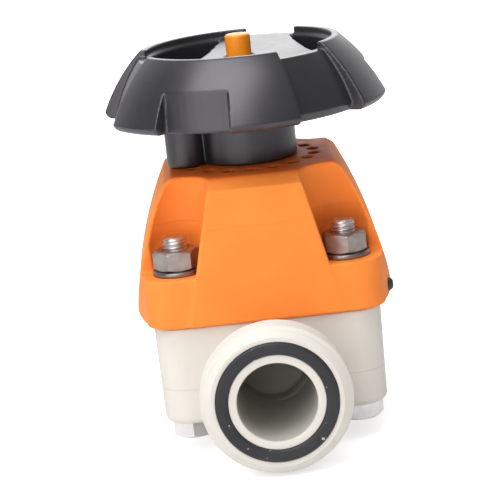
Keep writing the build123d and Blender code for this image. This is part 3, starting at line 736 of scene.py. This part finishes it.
head_profile = [
    (bolt_bottom_z, 0.0),
    (bolt_bottom_z, HEAD_FACE_RADIUS),
    *chamfer_rows(bolt_bottom_z + FACE_STEP, bolt_bottom_z + HEAD_CHAMFER),
    (head_top_z, hexagon(UNTRIMMED_RADIUS)),
    (head_top_z, SHANK_RADIUS),
]
tip_profile = even_rows(
    nut_top_z - THREAD_UNDER_NUT_TOP, thread_top_z, BOLT_THREAD_ROWS, bolt_thread
) + rounded(
    [
        (thread_top_z, TIP_RADIUS, 0),
        (bolt_tip_z - TIP_CONE_LENGTH, TIP_SHOULDER_RADIUS, TIP_EDGE),
        (bolt_tip_z, TIP_END_RADIUS, TIP_EDGE),
        (bolt_tip_z, 0, 0),
    ]
)
nut_profile = [
    (nut_bottom_z, SHANK_RADIUS),
    (nut_bottom_z, NUT_FACE_RADIUS),
    *chamfer_rows(nut_bottom_z + FACE_STEP, nut_bottom_z + NUT_CHAMFER),
    *reversed(chamfer_rows(nut_top_z - FACE_STEP, nut_top_z - NUT_CHAMFER)),
    (nut_top_z, NUT_FACE_RADIUS),
    (nut_top_z, NUT_HOLE_EDGE_RADIUS),
    (nut_top_z - NUT_HOLE_BEVEL, NUT_HOLE_RADIUS),
]
washer_profile = rounded(
    [
        (washer_bottom_z, WASHER_HOLE_RADIUS, 0),
        (washer_bottom_z, WASHER_RADIUS, 0.45),
        (washer_top_z, WASHER_RADIUS, 0.6),
        (washer_top_z, WASHER_HOLE_RADIUS, 0.2),
        (washer_bottom_z, WASHER_HOLE_RADIUS, 0),
    ]
)


def fastener(name, profile, place, surface, smooth_angle):
    """One turned or hexagonal piece of a bolted joint."""
    return turned_piece(name, profile, BOLT_COLUMNS, place, "valve", surface, smooth_angle)


for number, ((x, y), head_turn, nut_turn) in enumerate(zip(BOLT_PLACES, HEAD_TURNS, NUT_TURNS), 1):
    head_place = upright(x, y, radians(head_turn - 90))
    head = fastener(
        f"bolt_head_{number}", head_profile, head_place, bolt_steel, 22
    )
    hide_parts("bonnet_bolts")

    shank = fastener(
        f"bolt_tip_{number}", tip_profile, upright(x, y), thread_steel, 40
    )
    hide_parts("bonnet_bolts")

    nut_place = upright(x, y, radians(nut_turn - 90))
    nut = fastener(f"nut_{number}", nut_profile, nut_place, nut_steel, 22)
    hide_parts("bonnet_nuts")

    washer = fastener(
        f"washer_{number}", washer_profile, upright(x, y), washer_steel, 40
    )
    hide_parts("nut_washers")

# Handwheel
moulded(
    "handwheel",
    "handwheel_moulding",
    "wheel",
    wheel_plastic,
    voxel=0.38,
    passes=6,
)

# Position indicator: a pin on a thinner tenon
TENON_RADIUS, TENON_LENGTH = 2.5, 8.0
INDICATOR_RADIUS = 4.1
INDICATOR_COLUMNS = 64
pin_low, pin_high = [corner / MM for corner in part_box("position_indicator")]
tenon_top_z = pin_low.z + TENON_LENGTH
pin_profile = rounded(
    [
        (pin_low.z, TENON_RADIUS, 0),
        (tenon_top_z, TENON_RADIUS, 0),
        (tenon_top_z, INDICATOR_RADIUS, 0.2),
        (pin_high.z, INDICATOR_RADIUS, 0.8),
        (pin_high.z, 0.0, 0),
    ],
    8,
)
indicator = turned_piece(
    "indicator_pin",
    pin_profile,
    INDICATOR_COLUMNS,
    upright(0, 0),
    "stem",
    indicator_plastic,
    smooth_angle=50,
)
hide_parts("position_indicator")

# Black ring round the indicator, set in the middle of the dish: painted shade, a dark piece that
# stands for the shade in the gap round the pin
DISH_Z = 123.8
SHADE_RING_TOP_Z, SHADE_RING_BOTTOM_Z = DISH_Z + 0.7, DISH_Z - 2.0
SHADE_RING_INNER_RADIUS, SHADE_RING_OUTER_RADIUS = 4.35, 5.1
shade_ring_profile = rounded(
    [
        (SHADE_RING_BOTTOM_Z, SHADE_RING_INNER_RADIUS, 0),
        (SHADE_RING_TOP_Z, SHADE_RING_INNER_RADIUS, 0.2),
        (SHADE_RING_TOP_Z, SHADE_RING_OUTER_RADIUS, 0.3),
        (SHADE_RING_BOTTOM_Z, SHADE_RING_OUTER_RADIUS, 0),
        (SHADE_RING_BOTTOM_Z, SHADE_RING_INNER_RADIUS, 0),
    ]
)
# Painted shade: this black ring stands in for the shade in the gap round the pin
turned_piece(
    "indicator_shade_ring",
    shade_ring_profile,
    INDICATOR_COLUMNS,
    upright(0, 0),
    "wheel",
    ring_rubber,
    smooth_angle=50,
)

# Camera, fitted to the photograph; its angles are in radians
CAMERA_PLACE = (-5.8, -738.0, 232.3)
AZIMUTH, ELEVATION, ROLL = -0.0035, 0.2299, -0.1065
SENSOR_WIDTH, FOCAL_LENGTH = 36.0, 165.38
camera_data = bpy.data.cameras.new("camera")
camera_data.sensor_width = SENSOR_WIDTH
camera_data.lens = FOCAL_LENGTH
camera = bpy.data.objects.new("camera", camera_data)
forward = Vector(
    (-sin(AZIMUTH) * cos(ELEVATION), cos(AZIMUTH) * cos(ELEVATION), -sin(ELEVATION))
)
level = Vector((cos(AZIMUTH), sin(AZIMUTH), 0))
lift = level.cross(forward)
right = cos(ROLL) * level + sin(ROLL) * lift
up = -sin(ROLL) * level + cos(ROLL) * lift
turn = Matrix((right, up, -forward)).transposed()
camera.matrix_world = Matrix.Translation(Vector(CAMERA_PLACE) * MM) @ turn.to_4x4()
bpy.context.scene.collection.objects.link(camera)
bpy.context.scene.camera = camera

# Lamps: a large soft key high on the front left, weaker ones low in front and behind
LAMP_TARGET = (0, 0, 60)
LAMPS = (
    # name, place, size in metres, power in watts
    ("key_lamp", (-220, -360, 1060), 0.8, 9.0),
    ("front_lamp", (-430, -800, 430), 0.9, 5.0),
    ("back_lamp", (100, 900, 540), 0.6, 2.4),
)
for name, place, size, power in LAMPS:
    lamp = bpy.data.lights.new(name, "AREA")
    lamp.size = size
    lamp.energy = power
    holder = bpy.data.objects.new(name, lamp)
    holder.location = Vector(place) * MM
    aim = Vector(LAMP_TARGET) - Vector(place)
    holder.rotation_euler = aim.to_track_quat("-Z", "Y").to_euler()
    bpy.context.scene.collection.objects.link(holder)

# World: white behind the object and in reflections of the far side, and a soft light from above
world = bpy.data.worlds.new("studio")
world.use_nodes = True
bpy.context.scene.world = world
sky = world.node_tree
background = sky.nodes["Background"]
background.inputs["Color"].default_value = (1, 1, 1, 1)
rays = sky.nodes.new("ShaderNodeLightPath").outputs
direction = split(sky, sky.nodes.new("ShaderNodeTexCoord").outputs["Generated"])
reflected = map_range(sky, direction["Y"], 0.2, 1.0, 0.2, 0.8)
overhead = map_range(sky, direction["Z"], 0.16, 0.6, 0.0, 1.0)
mirrored = calculate(sky, "MAXIMUM", rays["Is Glossy Ray"], rays["Is Transmission Ray"])
indirect = choose(sky, mirrored, overhead, reflected)
strength = choose(sky, rays["Is Camera Ray"], indirect, 1.0)
sky.links.new(strength, background.inputs["Strength"])

# Floor, which glows a little where the camera sees it
FLOOR_REACH = 4.0
FLOOR_GLOW = 0.6
floor_mesh = bpy.data.meshes.new("floor")
floor_mesh.from_pydata(
    [
        (-FLOOR_REACH, -FLOOR_REACH, 0),
        (FLOOR_REACH, -FLOOR_REACH, 0),
        (FLOOR_REACH, FLOOR_REACH, 0),
        (-FLOOR_REACH, FLOOR_REACH, 0),
    ],
    [],
    [(0, 1, 2, 3)],
)
floor_plane = bpy.data.objects.new("floor", floor_mesh)
bpy.context.scene.collection.objects.link(floor_plane)
floor_white = Surface("floor_white", (0.86, 0.86, 0.86), 0.9)
floor_white.set_input("Specular IOR Level", 0.0)
floor_white.set_input("Emission Color", (1, 1, 1, 1))
seen = floor_white.tree.nodes.new("ShaderNodeLightPath").outputs["Is Camera Ray"]
glow = floor_white.spread(seen, 0.0, FLOOR_GLOW, 0.0, 1.0)
floor_white.tree.links.new(glow, floor_white.shader.inputs["Emission Strength"])
floor_mesh.materials.append(floor_white.material)

bpy.context.scene.view_settings.view_transform = "Standard"
